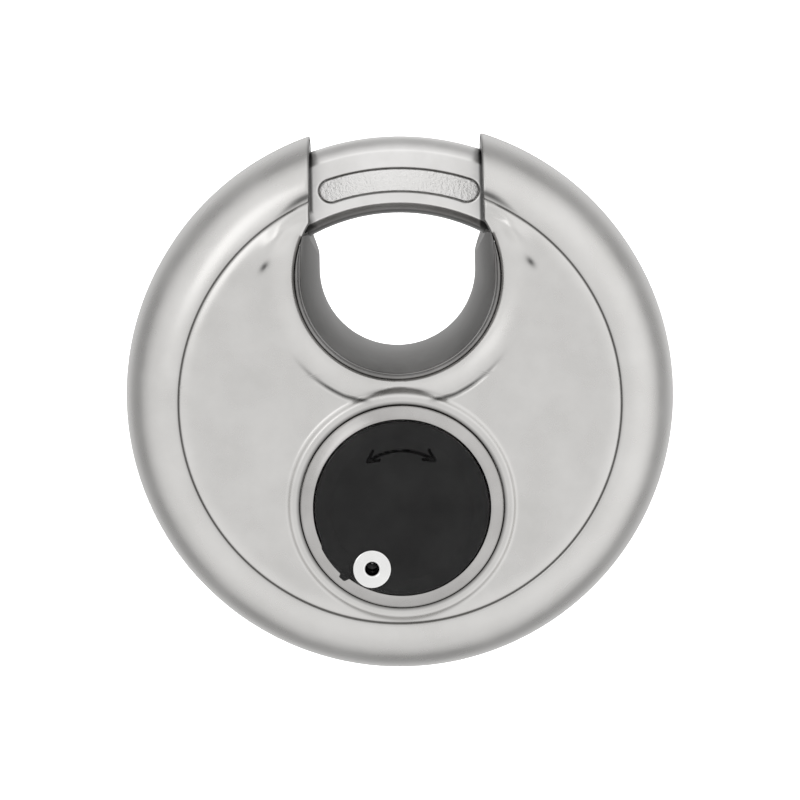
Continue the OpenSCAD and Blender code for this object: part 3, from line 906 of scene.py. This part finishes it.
def strokeDistance(x, y, x0, y0, x1, y1):
    # distance to a straight stroke between two points
    dx, dy = x1 - x0, y1 - y0
    t = np.clip(((x - x0) * dx + (y - y0) * dy) / (dx * dx + dy * dy), 0, 1)
    return np.hypot(x - x0 - t * dx, y - y0 - t * dy)


def arrowDistance(x, y):
    # distance to a curved arrow with an open head at each end, about the cover's middle
    s = cover
    x = np.abs(x)
    turn = np.arctan2(x, y)
    end = math.radians(s["arrowDeg"])
    arc = np.where(turn < end, np.abs(np.hypot(x, y) - s["arrowR"]), 99)
    tipTurn = end + 0.03
    tipX, tipY = s["arrowR"] * math.sin(tipTurn), s["arrowR"] * math.cos(tipTurn)
    best = arc
    for spread in (-s["barbDeg"], s["barbDeg"]):
        back = tipTurn + math.pi + math.radians(spread)
        endX, endY = tipX + s["barb"] * math.cos(back), tipY - s["barb"] * math.sin(back)
        best = np.minimum(best, strokeDistance(x, y, tipX, tipY, endX, endY))
    return best


def coverOutline(turn):
    # radius of the outline: round, with a flat ear and a small tab beside the rivet
    s = cover
    past = np.degrees(turn) % 360 - s["rivetDeg"]
    ear = s["earOut"] * ramp(past, -42, -36) * (1 - ramp(past, -12, -10.5))
    tab = s["tabOut"] * ramp(past, -16.6, -15.8) * (1 - ramp(past, -11.8, -11))
    return s["radius"] + ear + tab


def makeCover():
    # rays from the rivet's hole to the outline; the top has a bevel and the engraved arrow
    s = cover
    fineTurn = np.radians(np.linspace(30, 150, 230))
    earTurn = np.radians(np.linspace(s["rivetDeg"] - 44, s["rivetDeg"] - 8, 60))
    turn = np.concatenate([
        fineTurn,
        np.radians(np.linspace(150, s["rivetDeg"] - 44, 24))[1:-1],
        earTurn,
        np.radians(np.linspace(s["rivetDeg"] - 8, 390, 70))[1:],
    ])
    radius = coverOutline(turn)
    outX, outY = radius * np.cos(turn), radius * np.sin(turn)
    holeX, holeY = rivet["x"] - s["x"], rivet["y"] - s["y"]
    gap = np.hypot(outX - holeX, outY - holeY)
    dirX, dirY = (outX - holeX) / gap, (outY - holeY) / gap
    start = rivet["shankR"] + 0.05
    near = np.array([0, 0.05, 0.6, 1.3])
    far = np.array([0.3, 0.2, 0.12, 0.06, 0.02, 0])
    rows = np.concatenate([
        near[:, None] + 0 * gap,
        near[-1] + (gap - start - near[-1] - far[0]) * np.linspace(0, 1, 130)[1:-1, None],
        gap - start - far[:, None],
    ])
    dist = start + rows
    x, y = holeX + dist * dirX, holeY + dist * dirY
    fromMiddle = np.hypot(x, y)
    onBevel = np.clip((fromMiddle - s["radius"] + s["bevel"]) / s["bevel"], 0, 1)
    slope = (s["topH"] - s["backH"] - s["edge"]) * onBevel
    boss = ramp(2.75 - np.hypot(x - holeX, y - holeY), 0, 0.3)
    top = s["topH"] - slope * (1 - boss)
    cut = s["arrowDepth"] * (1 - ramp(arrowDistance(x, y), s["arrowWidth"] * 0.6, s["arrowWidth"] * 1.5))
    edgeRoll = rollDrop(gap - start - rows, 0.25) * 0.8
    top = top - cut - edgeRoll
    upper = np.stack([s["x"] + x, s["y"] + y, top], axis=-1)
    lower = upper[[0, 3, 40, 90, 131, -1]].copy()
    lower[..., 2] = s["backH"]
    grids = [upper, lower, np.stack([upper[0], lower[0]]), np.stack([upper[-1], lower[-1]])]

    def arrowPaintedShade(x, y, h):
        # painted shade in the engraved arrow's groove
        away = arrowDistance(x - s["x"], y - s["y"])
        return (1 - ramp(away, s["arrowWidth"], s["arrowWidth"] * 1.8)) * (h > s["topH"] - 1)

    marks = {"paintedShade": arrowPaintedShade}
    makePiece("coverCap", grids, coverBlack, "cover", ["keyhole_cover"], "black_plastic", 40, 5e-4, marks)


makeCover()

view = {"distance": 0.60, "lens": 210.5, "elevation": 6.5, "roll": 1.1, "aimX": 0.0, "aimZ": -0.0008}


def lookFrom(azimuth, elevation, distance):
    a, e = math.radians(azimuth), math.radians(elevation)
    return np.array([math.sin(a) * math.cos(e), -math.cos(a) * math.cos(e), math.sin(e)]) * distance


def addCamera():
    data = bpy.data.cameras.new("camera")
    data.lens = view["lens"]
    data.sensor_width = 36
    data.clip_start, data.clip_end = 0.01, 20
    cameraObject = bpy.data.objects.new("camera", data)
    scene.collection.objects.link(cameraObject)
    target = Vector((view["aimX"], 0, view["aimZ"]))
    place = Vector(lookFrom(0, view["elevation"], view["distance"])) + target
    turned = (target - place).to_track_quat("-Z", "Y").to_matrix().to_4x4()
    roll = Matrix.Rotation(math.radians(-view["roll"]), 4, "Z")
    cameraObject.matrix_world = Matrix.Translation(place) @ turned @ roll
    scene.camera = cameraObject


def addSoftbox(name, azimuth, elevation, distance, width, height, power, tint=(1, 1, 1)):
    data = bpy.data.lights.new(name, "AREA")
    data.shape = "RECTANGLE"
    data.size, data.size_y = width, height
    data.energy = power
    data.color = tint
    lamp = bpy.data.objects.new(name, data)
    lamp.location = lookFrom(azimuth, elevation, distance)
    lamp.rotation_euler = (-Vector(lamp.location)).to_track_quat("-Z", "Y").to_euler()
    scene.collection.objects.link(lamp)

room = {
    "strength": 1.0,
    "alongY": [(0.0, 0.86), (0.2, 1.0), (0.4, 0.97), (0.55, 0.75), (0.68, 0.42), (0.8, 0.45), (1.0, 0.8)],
    "alongZ": [(0.0, 0.86), (0.25, 1.03), (0.5, 1.0), (0.75, 1.05), (1.0, 1.0)],
    "alongX": [(0.0, 0.88), (0.3, 1.0), (0.8, 1.02), (1.0, 1.04)],
}


def addWorld():
    # soft room: bright ahead and behind, darker in a band across, dimmer overhead
    world = bpy.data.worlds.new("studio")
    scene.world = world
    world.use_nodes = True
    tree = world.node_tree
    background = tree.nodes["Background"]
    coords = tree.nodes.new("ShaderNodeTexCoord")
    split = tree.nodes.new("ShaderNodeSeparateXYZ")
    tree.links.new(coords.outputs["Generated"], split.inputs["Vector"])

    def curve(source, stops):
        levels = tree.nodes.new("ShaderNodeValToRGB")
        levels.color_ramp.interpolation = "EASE"
        while len(levels.color_ramp.elements) < len(stops):
            levels.color_ramp.elements.new(0.5)
        for element, (place, level) in zip(levels.color_ramp.elements, stops):
            element.position = place
            element.color = (level, level, level, 1)
        half = tree.nodes.new("ShaderNodeMapRange")
        half.inputs["From Min"].default_value = -1
        tree.links.new(source, half.inputs["Value"])
        tree.links.new(half.outputs["Result"], levels.inputs["Fac"])
        return levels.outputs["Color"]

    def times(one, other):
        product = tree.nodes.new("ShaderNodeMix")
        product.data_type = "RGBA"
        product.blend_type = "MULTIPLY"
        product.inputs["Factor"].default_value = 1
        tree.links.new(one, product.inputs["A"])
        tree.links.new(other, product.inputs["B"])
        return product.outputs["Result"]

    depth = curve(split.outputs["Y"], room["alongY"])
    rise = curve(split.outputs["Z"], room["alongZ"])
    side = curve(split.outputs["X"], room["alongX"])
    tree.links.new(times(times(depth, rise), side), background.inputs["Color"])
    background.inputs["Strength"].default_value = room["strength"]


def addSweep():
    # floor that curves up into a back wall, all round so that every view has it
    radii = np.array([0.0, 0.2, 0.5, 0.9, 1.2, 1.45, 1.65, 1.8, 1.88, 1.9, 1.9])
    heights = np.array([0, 0, 0, 0, 0.03, 0.12, 0.3, 0.6, 1.0, 1.5, 2.4]) - 0.085
    turn = np.linspace(0, 2 * math.pi, 97)
    x = radii[:, None] * np.cos(turn)
    y = radii[:, None] * np.sin(turn)
    z = np.repeat(heights[:, None], len(turn), axis=1)
    mesh = bpy.data.meshes.new("sweep")
    points = np.stack([x, y, z], axis=-1)
    mesh.from_pydata(points.reshape(-1, 3), [], gridCells(points, 0))
    mesh.shade_smooth()
    material, tree, shader = nodesOf("paper")
    shader.inputs["Roughness"].default_value = 0.9
    shader.inputs["Specular IOR Level"].default_value = 0.1
    paper = addNoise(tree, 30, 2.0)
    white = addTint(tree, paper.outputs["Fac"], (0.93, 0.93, 0.93), (0.95, 0.95, 0.95))
    tree.links.new(white, shader.inputs["Base Color"])
    shader.inputs["Emission Color"].default_value = (1, 1, 1, 1)
    shader.inputs["Emission Strength"].default_value = 0.55
    mesh.materials.append(material)
    floor = bpy.data.objects.new("sweep", mesh)
    floor.visible_glossy = False
    scene.collection.objects.link(floor)


addCamera()
addWorld()
addSweep()
addSoftbox("key", -35, 25, 0.9, 0.3, 0.5, 0.3)
scene.view_settings.view_transform = "Standard"
print("stage set")

finishes = {
    "front_guide": castZinc,
    "rear_guide": castZinc,
    "guide_pins": pinSteel,
    "cylinder_housing": brassMetal,
    "cylinder_pin": pinSteel,
    "core": brassMetal,
    "drill_plate": hardSteel,
    "sidebar": pinSteel,
    "core_clip": hardSteel,
    "driver": hardSteel,
    "cover_washer": pinSteel,
}
for nodeName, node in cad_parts.items():
    finish = finishes.get(nodeName)
    if nodeName.startswith("disc_"):
        finish = brassMetal
    if nodeName.startswith("spacer_"):
        finish = pinSteel
    if finish:
        node.data.materials.clear()
        node.data.materials.append(finish)
